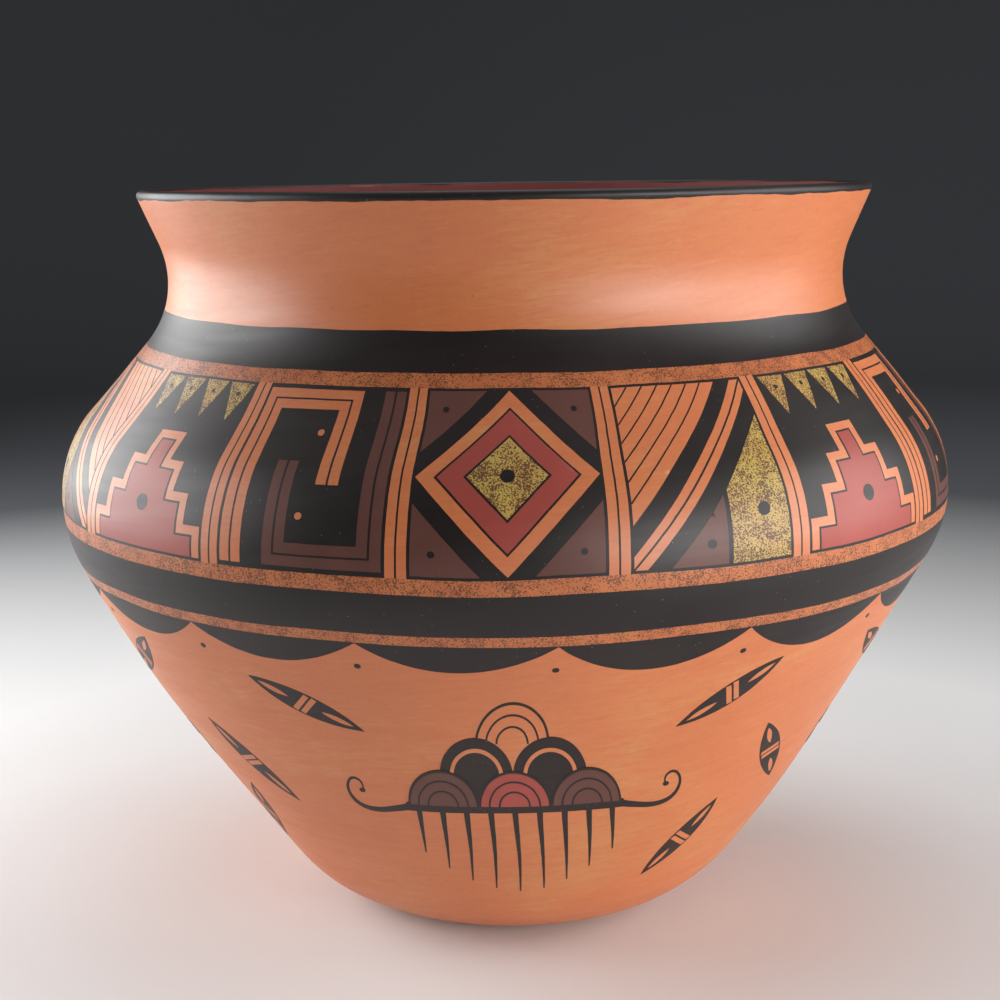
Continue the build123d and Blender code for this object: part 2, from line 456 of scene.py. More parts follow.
def tinted(tree, colour, tints):
    """Colour under tints, each where its value goes from low to high, and as strong as its share."""
    for value, low, high, share, tint in tints:
        colour = mixed(tree, spread(tree, value, low, high, 0.0, share), colour, tint)
    return colour


def specks(tree, coordinates, cells, size, share):
    """Small round specks, some faint, in clusters, in only a share of the cells, so many in a metre."""
    texture = add_node(tree, "TexVoronoi", {"Vector": coordinates, "Scale": cells, "Randomness": 1.0})
    round_spot = spread(tree, texture.outputs["Distance"], size, size * SPECK_CORE)
    drawn = add_node(tree, "SeparateColor", {"Color": texture.outputs["Color"]}).outputs
    cluster = noise(tree, coordinates, cells / CELLS_IN_CLUSTER)
    limit = spread(tree, cluster, *CLUSTER_NOISE, 0.0, share * 2)
    chosen = calculated(tree, "LESS_THAN", drawn["Red"], limit)
    strength = spread(tree, drawn["Green"], 0.0, 1.0, FAINTEST_SPECK, 1.0)
    return calculated(tree, "MULTIPLY", calculated(tree, "MULTIPLY", round_spot, strength), chosen)


def burnish(tree, coordinates):
    """Nearly level streaks that the burnishing stone leaves, and the finer wisps between them."""
    inputs = {"Vector": coordinates, "Rotation": STREAK_TILT}
    tilted = add_node(tree, "Mapping", inputs).outputs["Vector"]
    long_streaks = noise(tree, stretched(tree, tilted, (12, 12, 150)), 1.0, 3.0, 0.6, 1.0)
    short_streaks = noise(tree, stretched(tree, tilted, (80, 80, 620)), 1.0, 3.0, 0.65, 0.9)
    return long_streaks, short_streaks


def link_shader(tree, shader, colour, roughness, height, depth):
    """Colour, roughness and a bump of some depth, linked to a shader."""
    bump = add_node(tree, "Bump", {"Height": height, "Distance": depth, "Strength": 1.0})
    tree.links.new(colour, shader.inputs["Base Color"])
    tree.links.new(roughness, shader.inputs["Roughness"])
    tree.links.new(bump.outputs["Normal"], shader.inputs["Normal"])


# Materials, with colours in linear light

WARM_CLAY = (0.57, 0.165, 0.054)
LIGHT_CLAY = (0.65, 0.198, 0.068)
FIRE_CLOUD = (0.62, 0.31, 0.105)
BLUSH = (0.53, 0.125, 0.046)
LONG_STREAK = (0.47, 0.125, 0.042)
BRIGHT_STREAK = (0.72, 0.26, 0.10)
DULL_STREAK = (0.45, 0.115, 0.040)
MOTTLE = (0.42, 0.11, 0.043)
PIT = (0.09, 0.04, 0.025)
DARK_SCRAPED = (0.40, 0.150, 0.065)
LIGHT_SCRAPED = (0.47, 0.20, 0.095)
SCRAPE = (0.30, 0.105, 0.048)
BURNISH_DEPTH = 0.05 * MM
SCRAPE_DEPTH = 0.4 * MM
DAB_DEPTH = 0.04 * MM
DULLER = 0.08


def clay_material():
    """Burnished orange clay: pale and warm clouds from the fire, streaks from the stone, rare pits."""
    material, tree, shader, here = new_material("burnished_clay", {"Specular IOR Level": 0.7})
    long_streaks, short_streaks = burnish(tree, here)
    clouds = noise(tree, stretched(tree, here, (1, 1, 1.6)), 5.0, 2.0, 0.5, 0.4)
    warmth = noise(tree, stretched(tree, here, (1, 1, 1.8)), 9.0, 4.0, 0.6, 0.8)
    wisps = joined(tree, warmth, short_streaks, 0.45)
    mottle = noise(tree, here, 420.0, 3.0, 0.6)
    pits = specks(tree, here, cells=90.0, size=0.05, share=0.06)
    colour = tinted(tree, WARM_CLAY, [
        (clouds, 0.32, 0.68, 1.00, LIGHT_CLAY),
        (wisps, 0.74, 1.00, 0.60, FIRE_CLOUD),
        (wisps, 0.70, 0.45, 0.45, BLUSH),
        (long_streaks, 0.48, 0.75, 0.16, LONG_STREAK),
        (short_streaks, 0.56, 0.78, 0.28, BRIGHT_STREAK),
        (short_streaks, 0.44, 0.26, 0.22, DULL_STREAK),
        (mottle, 0.52, 0.76, 0.22, MOTTLE),
    ])
    colour = mixed(tree, calculated(tree, "MULTIPLY", pits, 0.75), colour, PIT)
    roughness = spread(tree, long_streaks, *USUAL_NOISE, 0.40, 0.40 + DULLER)
    relief = calculated(tree, "SUBTRACT", joined(tree, long_streaks, mottle, 0.35), pits)
    link_shader(tree, shader, colour, roughness, relief, BURNISH_DEPTH)
    return material


def inner_clay_material():
    """Bare clay inside the jar, scraped with a gourd and left matt."""
    material, tree, shader, here = new_material("scraped_clay", {"Specular IOR Level": 0.3})
    scrapes = noise(tree, stretched(tree, here, (30, 30, 220)), 1.0, 4.0, 0.65, 0.6)
    clouds = noise(tree, here, 12.0, 3.0, 0.5, 0.5)
    grit = noise(tree, here, 900.0, 2.0, 0.6)
    colour = tinted(tree, DARK_SCRAPED, [
        (clouds, *USUAL_NOISE, 1.0, LIGHT_SCRAPED),
        (scrapes, 0.45, 0.75, 0.5, SCRAPE),
    ])
    roughness = spread(tree, grit, *USUAL_NOISE, 0.62, 0.78)
    link_shader(tree, shader, colour, roughness, joined(tree, scrapes, grit, 0.3), SCRAPE_DEPTH)
    return material


def paint_material(name, dark, light, roughness, speck, speck_share):
    """Satin mineral paint with faint brush clouds and sparse pale specks where the clay shows through."""
    material, tree, shader, here = new_material(name, {"Specular IOR Level": 0.42})
    long_streaks, short_streaks = burnish(tree, here)
    clouds = noise(tree, here, 22.0, 3.0, 0.55, 0.5)
    grain = noise(tree, here, 700.0, 2.0, 0.6)
    spots = specks(tree, here, cells=620.0, size=0.15, share=speck_share)
    colour = tinted(tree, dark, [
        (clouds, *USUAL_NOISE, 1.0, light),
        (short_streaks, 0.55, 0.85, 0.35, light),
        (grain, 0.60, 0.85, 0.25, light),
    ])
    colour = mixed(tree, calculated(tree, "MULTIPLY", spots, 0.8), colour, speck)
    gloss = spread(tree, long_streaks, *USUAL_NOISE, roughness, roughness + DULLER)
    link_shader(tree, shader, colour, gloss, joined(tree, long_streaks, grain, 0.3), BURNISH_DEPTH)
    return material


def stippled_material(name, pale, deep, dab, roughness, sparse, dense, cover):
    """Ground covered with small irregular dabs of dark paint, thicker in some places than in others."""
    material, tree, shader, here = new_material(name, {"Specular IOR Level": 0.5})
    clouds = noise(tree, here, 45.0, 3.0, 0.55, 0.6)
    dabs = noise(tree, here, 1700.0, 1.2, 0.5, 0.35)
    patches = noise(tree, here, 170.0, 2.0, 0.5)
    thickness = joined(tree, dabs, patches, 0.42)
    colour = tinted(tree, pale, [
        (clouds, 0.35, 0.65, 1.0, deep),
        (thickness, sparse, dense, cover, dab),
    ])
    gloss = spread(tree, thickness, sparse, dense, roughness, roughness + DULLER)
    link_shader(tree, shader, colour, gloss, thickness, DAB_DEPTH)
    return material


CLAY = clay_material()
INNER_CLAY = inner_clay_material()
BLACK = paint_material(
    "black_paint", dark=(0.0105, 0.0070, 0.0068), light=(0.019, 0.0130, 0.0125),
    roughness=0.40, speck=(0.32, 0.27, 0.24), speck_share=0.10,
)
OXBLOOD = paint_material(
    "oxblood_paint", dark=(0.31, 0.056, 0.042), light=(0.39, 0.074, 0.056),
    roughness=0.38, speck=(0.50, 0.18, 0.11), speck_share=0.08,
)
BROWN = paint_material(
    "brown_paint", dark=(0.105, 0.040, 0.030), light=(0.135, 0.052, 0.040),
    roughness=0.40, speck=(0.30, 0.16, 0.11), speck_share=0.08,
)
RED_SLIP = paint_material(
    "red_slip", dark=(0.165, 0.030, 0.026), light=(0.215, 0.042, 0.036),
    roughness=0.45, speck=(0.36, 0.13, 0.09), speck_share=0.06,
)
RIBBON = stippled_material(
    "speckled_ribbon", pale=(0.57, 0.180, 0.062), deep=(0.50, 0.148, 0.052), dab=(0.095, 0.030, 0.016),
    roughness=0.38, sparse=0.71, dense=0.785, cover=0.82,
)
OCHRE = stippled_material(
    "speckled_ochre", pale=(0.52, 0.37, 0.080), deep=(0.50, 0.29, 0.080), dab=(0.110, 0.036, 0.018),
    roughness=0.40, sparse=0.68, dense=0.75, cover=0.95,
)
SLOTS = {CLAY: "burnished_clay", BLACK: "black_paint", RIBBON: "speckled_slip", RED_SLIP: "red_slip"}


# Clay


def clay_ring(name, rows, outside_rows):
    """Closed ring of clay through rows of points, of which the first ones face outwards."""
    points = surface(all_round(ROUND_STEPS), rows[:, None]).reshape(-1, 3)
    faces = ring_faces(len(rows), ROUND_STEPS, closed=True)
    first_inside = outside_rows * ROUND_STEPS
    face_sets = [(faces[:first_inside], 0), (faces[first_inside:], 1)]
    return mesh_piece(name, points, face_sets, [CLAY, INNER_CLAY])


def base_piece(name, upper):
    """Bowl-shaped bottom of the jar, closed at the axis on both sides."""
    outside = rows_between(0, upper[0], INSIDE_ROW)[1:]
    inside = rows_between(upper[1], DISTANCES[-1], INSIDE_ROW)[:-1]
    rows = np.concatenate([outside, inside])
    poles = surface(np.zeros(2), np.array([0, DISTANCES[-1]]))
    points = np.concatenate([surface(all_round(ROUND_STEPS), rows[:, None]).reshape(-1, 3), poles])
    low_pole = len(points) - 2
    high_pole = len(points) - 1
    faces = ring_faces(len(rows), ROUND_STEPS, closed=False)
    first_inside = (len(outside) - 1) * ROUND_STEPS
    face_sets = [
        (faces[:first_inside], 0),
        (faces[first_inside:], 1),
        (fan_faces(low_pole, 0, ROUND_STEPS, downwards=True), 0),
        (fan_faces(high_pole, len(rows) - 1, ROUND_STEPS, downwards=False), 1),
    ]
    return mesh_piece(name, points, face_sets, [CLAY, INNER_CLAY])


def make_clay():
    """The base and the courses, the last one rounded over as the lip, each in place of its node."""
    base_length = WALL_LENGTH * BASE_SHARE
    width = (WALL_LENGTH - base_length) / len(COURSES)
    starts = [FOOT_RADIUS + base_length + width * n for n in range(len(COURSES))]
    joints = [(start, joint_inside(start)) for start in starts]
    made = {"base": base_piece("clay_base", joints[0])}
    for name, lower, upper in zip(COURSES, joints, joints[1:]):
        outside = rows_between(lower[0], upper[0], OUTSIDE_ROW)
        inside = rows_between(upper[1], lower[1], INSIDE_ROW)
        made[name] = clay_ring(f"clay_{name}", np.concatenate([outside, inside]), len(outside) - 1)
    rim = rows_between(*joints[-1], OUTSIDE_ROW)
    made[COURSES[-1]] = clay_ring(f"clay_{COURSES[-1]}", rim, int(np.sum(rim < DISTANCES[TOP])))
    for node, piece in made.items():
        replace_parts(piece, node)


# Slip and paint that go all the way round


def painted_ring(name, low, high, material, spacing, lift, wavers=(None, None)):
    """Closed skin of paint between two distances along the section, with edges that may waver more."""
    angles = all_round(PAINT_STEPS)
    rows = rows_between(low, high, spacing)[:, None]
    wander = brushed(angles, rows)[1] - rows
    share = (rows - rows[0]) / (rows[-1] - rows[0])
    for waver, part in zip(wavers, (1 - share, share)):
        if waver:
            wander = wander + part * waver(angles, 0 * rows)
    top = surface(angles, rows + wander, lift)
    under = surface(angles, rows + wander, -ROOT)
    points = np.concatenate([top, under[::-1]]).reshape(-1, 3)
    faces = ring_faces(2 * len(rows), PAINT_STEPS, closed=True)
    return mesh_piece(name, points, [(faces, 0)], [material])


def make_rings():
    """The black lip and the slip inside it, then black bands, speckled ribbons and the frieze's ground."""
    lip = (outside_at(LIP_PAINT_BOTTOM), inside_at(SLIP_TOP))
    slip = (inside_at(SLIP_TOP) - SLIP_TUCK, inside_at(SLIP_BOTTOM))
    lip_edges = (LIP_EDGE, LIP_INNER_EDGE)
    slip_edges = (None, SLIP_EDGE)
    made = {
        "lip_paint": painted_ring("painted_lip", *lip, BLACK, LIP_ROW, COAT + LAYER, lip_edges),
        "interior_slip": painted_ring("slip_inside", *slip, RED_SLIP, INSIDE_ROW, COAT, slip_edges),
    }
    tops = {
        "upper_black_band": UPPER_BAND_TOP,
        "upper_speckled_ribbon": UPPER_RIBBON_TOP,
        "frieze_ground": FRIEZE_TOP,
        "middle_speckled_ribbon": FRIEZE_BOTTOM,
        "lower_black_band": LOWER_BAND_TOP,
        "lower_speckled_ribbon": LOWER_RIBBON_TOP,
    }
    bottoms = [*tops.values(), SCALLOP_TOP][1:]
    for (node, top), bottom in zip(tops.items(), bottoms):
        ribbon = node.endswith("ribbon")
        tuck = RIBBON_TUCK if ribbon else 0.0
        ring = (outside_at(bottom) - tuck, outside_at(top) + tuck)
        coat = (RIBBON, OUTSIDE_ROW, COAT) if ribbon else (BLACK, OUTSIDE_ROW, COAT + LAYER)
        made[node] = painted_ring(f"painted_{node}", *ring, *coat)
    for node, piece in made.items():
        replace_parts(piece, node)


# Flat outlines, in metres across and up, and how they are laid on the jar


class Chart:
    """Sheet laid on the wall round a place, true to size there, or at one radius where that is given."""

    def __init__(self, shapes, angle, distance, radius=None, tilt=0.0, tall=1.0):
        self.shapes = shapes
        self.angle = angle
        self.distance = distance
        self.radius = radius
        self.turn = np.exp(1j * radians(tilt))
        self.tall = tall

    def lay(self, outline):
        """Angles and distances of an outline's points, as the brush really went."""
        turned = np.asarray(outline, complex) * self.turn
        distance = self.distance + turned.imag * self.tall
        radius = radius_at(distance) if self.radius is None else self.radius
        return brushed(self.angle + turned.real / radius, distance)

    def paint(self, material, outline, layer):
        """Adds an outline to the shapes of its material."""
        self.shapes[material].append((outline, self, layer))


def refined(outline):
    """Outline with points added along its long sides."""
    made = []
    for start, end in zip(outline, [*outline[1:], outline[0]]):
        count = max(1, int(np.ceil(abs(end - start) / EDGE_STEP)))
        made += [start + (end - start) * n / count for n in range(count)]
    return made


def inside_outline(points, outline):
    """Which points lie inside an outline."""
    hit = np.zeros(len(points), bool)
    for start, end in zip(outline, np.roll(outline, -1)):
        crosses = (start.imag > points.imag) != (end.imag > points.imag)
        rise = end.imag - start.imag
        if rise == 0:
            continue
        at = start.real + (points.imag - start.imag) / rise * (end.real - start.real)
        hit ^= crosses & (points.real < at)
    return hit


def filling(outline):
    """Grid of points inside an outline, kept a little away from it."""
    columns = np.arange(outline.real.min(), outline.real.max(), FILL_STEP)
    rows = np.arange(outline.imag.min(), outline.imag.max(), FILL_STEP)
    across, up = np.meshgrid(columns, rows)
    grid = (across + 1j * up).ravel() + (1 + 1j) * FILL_STEP / 2
    grid = grid[inside_outline(grid, outline)]
    if not len(grid):
        return grid
    near = np.min(np.abs(grid[:, None] - outline[None, :]), axis=1)
    return grid[near > FILL_MARGIN]


def shell(outline, chart, layer):
    """Points and three-cornered faces of a closed skin of paint with an outline."""
    edge = np.array(refined(outline))
    flat = np.concatenate([edge, filling(edge)])
    count = len(edge)
    sides = [(n, (n + 1) % count) for n in range(count)]
    corners, _, faces, *_ = delaunay_2d_cdt(
        [Vector((p.real / MM, p.imag / MM)) for p in flat], sides, [], INSIDE_ONLY, WELD, False
    )
    flat = np.array([complex(*corner) for corner in corners]) * MM
    faces = np.array([face[:] for face in faces])
    faces = faces[inside_outline(flat[faces].mean(axis=1), edge)]
    first, second, third = (flat[faces[:, n]] for n in range(3))
    area = ((second - first) * np.conj(third - first)).imag
    faces[area > 0] = faces[area > 0][:, ::-1]
    pairs = np.concatenate([faces[:, [0, 1]], faces[:, [1, 2]], faces[:, [2, 0]]])
    twins = {(a, b) for a, b in pairs.tolist()}
    rim = np.array([(a, b) for a, b in pairs.tolist() if (b, a) not in twins])
    angle, distance = chart.lay(flat)
    lift = COAT + LAYER * layer
    points = np.concatenate([surface(angle, distance, lift), surface(angle, distance, -ROOT)])
    under = len(flat)
    walls = np.concatenate([
        np.stack([rim[:, 0], rim[:, 0] + under, rim[:, 1] + under], axis=-1),
        np.stack([rim[:, 0], rim[:, 1] + under, rim[:, 1]], axis=-1),
    ])
    return points, np.concatenate([faces, faces[:, ::-1] + under, walls])


def painted_shapes(name, shapes, material):
    """One piece made of a material's shapes, each an outline, its chart and its layer."""
    points, faces, first = [], [], 0
    for outline, chart, layer in shapes[material]:
        shell_points, shell_faces = shell(outline, chart, layer)
        points.append(shell_points)
        faces.append(shell_faces + first)
        first += len(shell_points)
    return mesh_piece(name, np.concatenate(points), [(np.concatenate(faces), 0)], [material])


def disc(centre, radius, squash=1.0):
    """Round dot, a little squashed if wanted."""
    turns = np.linspace(0, FULL_TURN, DISC_POINTS, endpoint=False)
    return [centre + radius * complex(cos(t), sin(t) * squash) for t in turns]


def stroke(path, width, end_width=None):
    """Brush stroke of a width along a path, mitred at its corners, which may taper to its end."""
    path = np.array(path)
    end_width = width if end_width is None else end_width
    along = np.concatenate([[0], np.cumsum(np.abs(np.diff(path)))])
    half = (width + (end_width - width) * along / along[-1]) / 2
    ways = np.diff(path) / np.abs(np.diff(path))
    before = np.concatenate([[ways[0]], ways])
    after = np.concatenate([ways, [ways[-1]]])
    mean = before + after
    mean = mean / np.abs(mean)
    mitre = 1j * mean / (before * np.conj(mean)).real
    left = path + mitre * half
    right = path - mitre * half
    return [*right, *left[::-1]]


def arc(centre, radius, start, end, points=24):
    """Points of an arc between two bearings in degrees."""
    turns = np.radians(np.linspace(start, end, points))
    return list(centre + radius * np.exp(1j * turns))


def shallow_arc(lowest, half, depth, points):
    """Points of an arc that hangs from two ends half a chord away to a depth, from its lowest point."""
    curve = (half**2 + depth**2) / (2 * depth)
    lean = degrees(asin(half / curve))
    return arc(lowest + 1j * curve, curve, -90 - lean, -90 + lean, points)


# Scallops and their dots: each point's shift in degrees, and each scallop's share of the depth

SCALLOP_COUNT = 16
SCALLOP_DEPTH = 0.0112
SCALLOP_POINTS = 48
FIRST_POINT = 5.6
DOT_RADIUS = 0.0013
DOT_SQUASH = 0.85
DOT_DROP = 0.0098
DOT_SHIFT_SHARE = 0.4
POINT_SHIFTS = [0.3, 0.7, 1.9, 1.3, 0.5, -0.4, 0.6, 1.0, 0.2, -0.7, -0.2, 0.5, -0.6, -0.1, 0.5, 0.3]
DEPTH_SHARES = [1.26, 1.30, 1.24, 1.12, 0.97, 1.05, 1.0, 0.94]
DEPTH_SHARES += [1.03, 0.98, 1.01, 0.96, 1.05, 1.08, 1.02, 1.08]


def make_scallops():
    """Black scallops that close the painting below, and the dots under the points between them."""
    top = outside_at(SCALLOP_TOP)
    radius = radius_at(top)
    pitch = 360 / SCALLOP_COUNT
    points = [FIRST_POINT + pitch * n + shift for n, shift in enumerate(POINT_SHIFTS)]
    points.append(points[0] + 360)
    dot_shifts = [DOT_SHIFT_SHARE * POINT_SHIFTS[n - 3] for n in range(SCALLOP_COUNT)]
    scallops = defaultdict(list)
    dots = defaultdict(list)
    for start, end, depth_share, dot_shift in zip(points, points[1:], DEPTH_SHARES, dot_shifts):
        half = radians(end - start) / 2 * radius
        depth = SCALLOP_DEPTH * depth_share
        bottom = shallow_arc(complex(0, -depth), half, depth, SCALLOP_POINTS)
        outline = [*bottom, complex(half, SCALLOP_TUCK), complex(-half, SCALLOP_TUCK)]
        Chart(scallops, radians(start + end) / 2, top, radius).paint(BLACK, outline, 1)
        dot_chart = Chart(dots, radians(start) + radians(dot_shift), outside_at(SCALLOP_TOP - DOT_DROP))
        dot_chart.paint(BLACK, disc(0j, DOT_RADIUS, DOT_SQUASH), 1)
    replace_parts(painted_shapes("painted_scallops", scallops, BLACK), "scallop_band")
    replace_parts(painted_shapes("painted_scallop_dots", dots, BLACK), "scallop_dots")


# The frieze: sixteen panels between double stripes, with four plain geometric fillings in turn

PANEL_COUNT = 16
PANEL_SHIFTS = [0.0, 0.5, -0.4, 0.3, -0.6, 0.2, 0.6, -0.3, 0.1, -0.5, 0.4, 0.0, -0.2, 0.5, -0.3, 0.2]
MIRRORED_PANELS = (5, 13)
FRIEZE_RADIUS = 0.178
STRIPE = 3.2 * MM
FINE_LINE = 0.7 * MM
MARGIN = 1.1 * MM
SMALL_DOT = 1.2 * MM
LARGE_DOT = 3.1 * MM

# Fillings: borders in metres, frets in cells, the rest as shares of the panel or of what they adjoin
TERRACE_STEPS = 4
TERRACE_TOP = 0.66
TERRACE_BORDER = 3.3 * MM
TERRACE_CORE = 4.1 * MM
TERRACE_DOT = 0.24
TOOTH_COUNT = 4
TOOTH_GAP = 0.015
TOOTH_TIP = 0.76
TOOTH_DOT = 0.93
LOZENGE_LINE = 1.1 * MM
RED_LOZENGE = 0.80
OCHRE_LOZENGE = 0.44
CORNER_REACH = 0.36
CORNER_DOT = 0.11
FRET_CELLS = 7
FRET_WIDTH = 0.98
FRET_PATH = [(0.5, 0.5), (0.5, 6.5), (4.5, 6.5), (4.5, 3.5)]
FRET_DOTS = [(3.5, 1.9), (3.5, 5.1)]
SLANT_CUT = 1.3
SLANT_GAP = 0.22
HATCH_COUNT = 7
BROWN_TRIANGLE = [(0.22, 0.0), (0.57, 0.0), (0.57, 0.35)]
OCHRE_SHAPE = [(0.60, 0.0), (1.0, 0.0), (1.0, 0.78), (0.60, 0.38)]
BROWN_DOT = (0.465, 0.11)
OCHRE_DOT = (0.83, 0.26)
FRIEZE_PIECES = {
    "frieze_clay_shapes": CLAY,
    "frieze_black_lines": BLACK,
    "frieze_oxblood_shapes": OXBLOOD,
    "frieze_brown_shapes": BROWN,
    "frieze_ochre_shapes": OCHRE,
}


class Panel(Chart):
    """Part of the frieze between two double stripes; its points are shares of its width and height."""

    def __init__(self, shapes, low_angle, high_angle, mirrored):
        super().__init__(shapes, 0.0, outside_at(FRIEZE_BOTTOM), FRIEZE_RADIUS)
        inset = STRIPE + FINE_LINE / 2 + MARGIN
        self.left = radians(low_angle) * FRIEZE_RADIUS + inset
        self.width = radians(high_angle) * FRIEZE_RADIUS - inset - self.left
        self.height = outside_at(FRIEZE_TOP) - outside_at(FRIEZE_BOTTOM) - 2 * MARGIN
        self.mirrored = mirrored

    def at(self, across, up):
        """Point of the frieze at shares of the panel's width and height."""
        if self.mirrored:
            across = 1 - across
        return complex(self.left + across * self.width, MARGIN + up * self.height)

    def outline(self, shares):
        """Points of the frieze at pairs of shares."""
        return [self.at(across, up) for across, up in shares]


def terrace(panel, inset=0.0):
    """Terrace that climbs in steps to the middle of a panel from both sides, drawn in by an inset."""
    left = []
    for n in range(TERRACE_STEPS):
        across = n / TERRACE_STEPS / 2
        left += [(across, TERRACE_TOP * n / TERRACE_STEPS), (across, TERRACE_TOP * (n + 1) / TERRACE_STEPS)]
    right = [(1 - across, up) for across, up in reversed(left)]
    middle = panel.at(0.5, 0).real
    drawn_in = []
    for point in panel.outline(left + right):
        side = inset if point.real < middle else -inset
        drop = inset if point.imag > MARGIN + inset else 0
        drawn_in.append(point + side - 1j * drop)
    return drawn_in


def terrace_panel(panel):
    """Stepped terrace with a red core, under a row of speckled teeth."""
    panel.paint(CLAY, terrace(panel), 2)
    panel.paint(BLACK, terrace(panel, TERRACE_BORDER), 3)
    panel.paint(OXBLOOD, terrace(panel, TERRACE_CORE), 4)
    panel.paint(BLACK, disc(panel.at(0.5, TERRACE_DOT), LARGE_DOT), 5)
    for n in range(TOOTH_COUNT):
        low = n / TOOTH_COUNT
        high = (n + 1) / TOOTH_COUNT
        middle = (low + high) / 2
        tooth = [(low + TOOTH_GAP, 1.0), (high - TOOTH_GAP, 1.0), (middle, TOOTH_TIP)]
        panel.paint(OCHRE, panel.outline(tooth), 2)
        panel.paint(BLACK, disc(panel.at(middle, TOOTH_DOT), SMALL_DOT * 0.8), 3)


def lozenge(panel, share, inset=0.0):
    """Diamond in the middle of a panel."""
    half_width = panel.width / 2 * share - inset
    half_height = panel.height / 2 * share - inset
    middle = panel.at(0.5, 0.5)
    return [middle - 1j * half_height, middle + half_width, middle + 1j * half_height, middle - half_width]


def lozenge_panel(panel):
    """Diamonds one inside another, with brown corners."""
    panel.paint(CLAY, lozenge(panel, 1.0), 2)
    panel.paint(BLACK, lozenge(panel, RED_LOZENGE), 3)
    panel.paint(OXBLOOD, lozenge(panel, RED_LOZENGE, LOZENGE_LINE), 4)
    panel.paint(BLACK, lozenge(panel, OCHRE_LOZENGE, -LOZENGE_LINE), 5)
    panel.paint(OCHRE, lozenge(panel, OCHRE_LOZENGE), 6)
    panel.paint(BLACK, disc(panel.at(0.5, 0.5), LARGE_DOT * 0.8), 7)
    for across, way in ((0, 1), (1, -1)):
        for up, rise in ((0, 1), (1, -1)):
            corner = [(across, up), (across + way * CORNER_REACH, up), (across, up + rise * CORNER_REACH)]
            dot = panel.at(across + way * CORNER_DOT, up + rise * CORNER_DOT)
            panel.paint(BROWN, panel.outline(corner), 2)
            panel.paint(BLACK, disc(dot, SMALL_DOT), 3)


def fret_panel(panel):
    """Two hooked frets that reach into each other, one plain and one brown, each with a fine line."""
    cell = panel.width / FRET_CELLS
    turned_path = [(FRET_CELLS - across, FRET_CELLS - up) for across, up in FRET_PATH]
    for material, path in ((CLAY, FRET_PATH), (BROWN, turned_path)):
        start, *turns, end = [panel.at(across / FRET_CELLS, up / FRET_CELLS) for across, up in path]
        start += (start - turns[0]) / abs(start - turns[0]) * cell / 2
        end += (end - turns[-1]) / abs(end - turns[-1]) * cell / 2
        panel.paint(material, stroke([start, *turns, end], cell * FRET_WIDTH), 2)
        panel.paint(BLACK, stroke([start, *turns, end], FINE_LINE), 3)
    for across, up in FRET_DOTS:
        panel.paint(CLAY, disc(panel.at(across / FRET_CELLS, up / FRET_CELLS), SMALL_DOT * 1.1), 2)


def stripe_panel(panel):
    """Slanting double stripe between a hatched triangle and two coloured ones."""
    low = panel.at(0, 0)
    high = panel.at(1, 1)
    rise = 1j * (STRIPE + FINE_LINE / 2) * SLANT_CUT
    side = rise.imag * (-1 if panel.mirrored else 1)
    panel.paint(CLAY, [low, low + side, high - rise, high, high - side, low + rise], 2)
    panel.paint(BLACK, stroke([low, high], FINE_LINE), 3)
    panel.paint(CLAY, panel.outline([(0.0, SLANT_GAP), (1 - SLANT_GAP, 1.0), (0.0, 1.0)]), 2)
    for n in range(1, HATCH_COUNT):
        reach = (1 - SLANT_GAP) * n / HATCH_COUNT
        hatch = panel.outline([(0.0, SLANT_GAP + reach), (1 - SLANT_GAP - reach, 1.0)])
        panel.paint(BLACK, stroke(hatch, FINE_LINE * 0.8), 3)
    panel.paint(BROWN, panel.outline(BROWN_TRIANGLE), 2)
    panel.paint(OCHRE, panel.outline(OCHRE_SHAPE), 2)
    panel.paint(BLACK, disc(panel.at(*BROWN_DOT), SMALL_DOT * 1.4), 3)
    panel.paint(BLACK, disc(panel.at(*OCHRE_DOT), LARGE_DOT * 0.8), 3)


FILLINGS = [lozenge_panel, stripe_panel, terrace_panel, fret_panel]


def make_frieze():
    """Double stripes and the fillings between them, joined into one piece for each colour."""
    shapes = defaultdict(list)
    pitch = 360 / PANEL_COUNT
    edges = [pitch * (n - 0.5) + shift for n, shift in enumerate(PANEL_SHIFTS)]
    edges.append(edges[0] + 360)
    chart = Chart(shapes, 0.0, outside_at(FRIEZE_BOTTOM), FRIEZE_RADIUS)
    height = outside_at(FRIEZE_TOP) - outside_at(FRIEZE_BOTTOM)
    for n, (edge, after) in enumerate(zip(edges, edges[1:])):
        middle = radians(edge) * FRIEZE_RADIUS
        for side in (-1, 1):
            near = middle + side * FINE_LINE / 2
            far = near + side * STRIPE
            stripe = [complex(near, 0), complex(far, 0), complex(far, height), complex(near, height)]
            chart.paint(CLAY, stripe, 2)
        fill = FILLINGS[n % len(FILLINGS)]
        fill(Panel(shapes, edge, after, n in MIRRORED_PANELS))
    for name, material in FRIEZE_PIECES.items():
        painted_shapes(name, shapes, material)


# Below the scallops: a cloud with rain on each side of the jar, and striped seeds between them

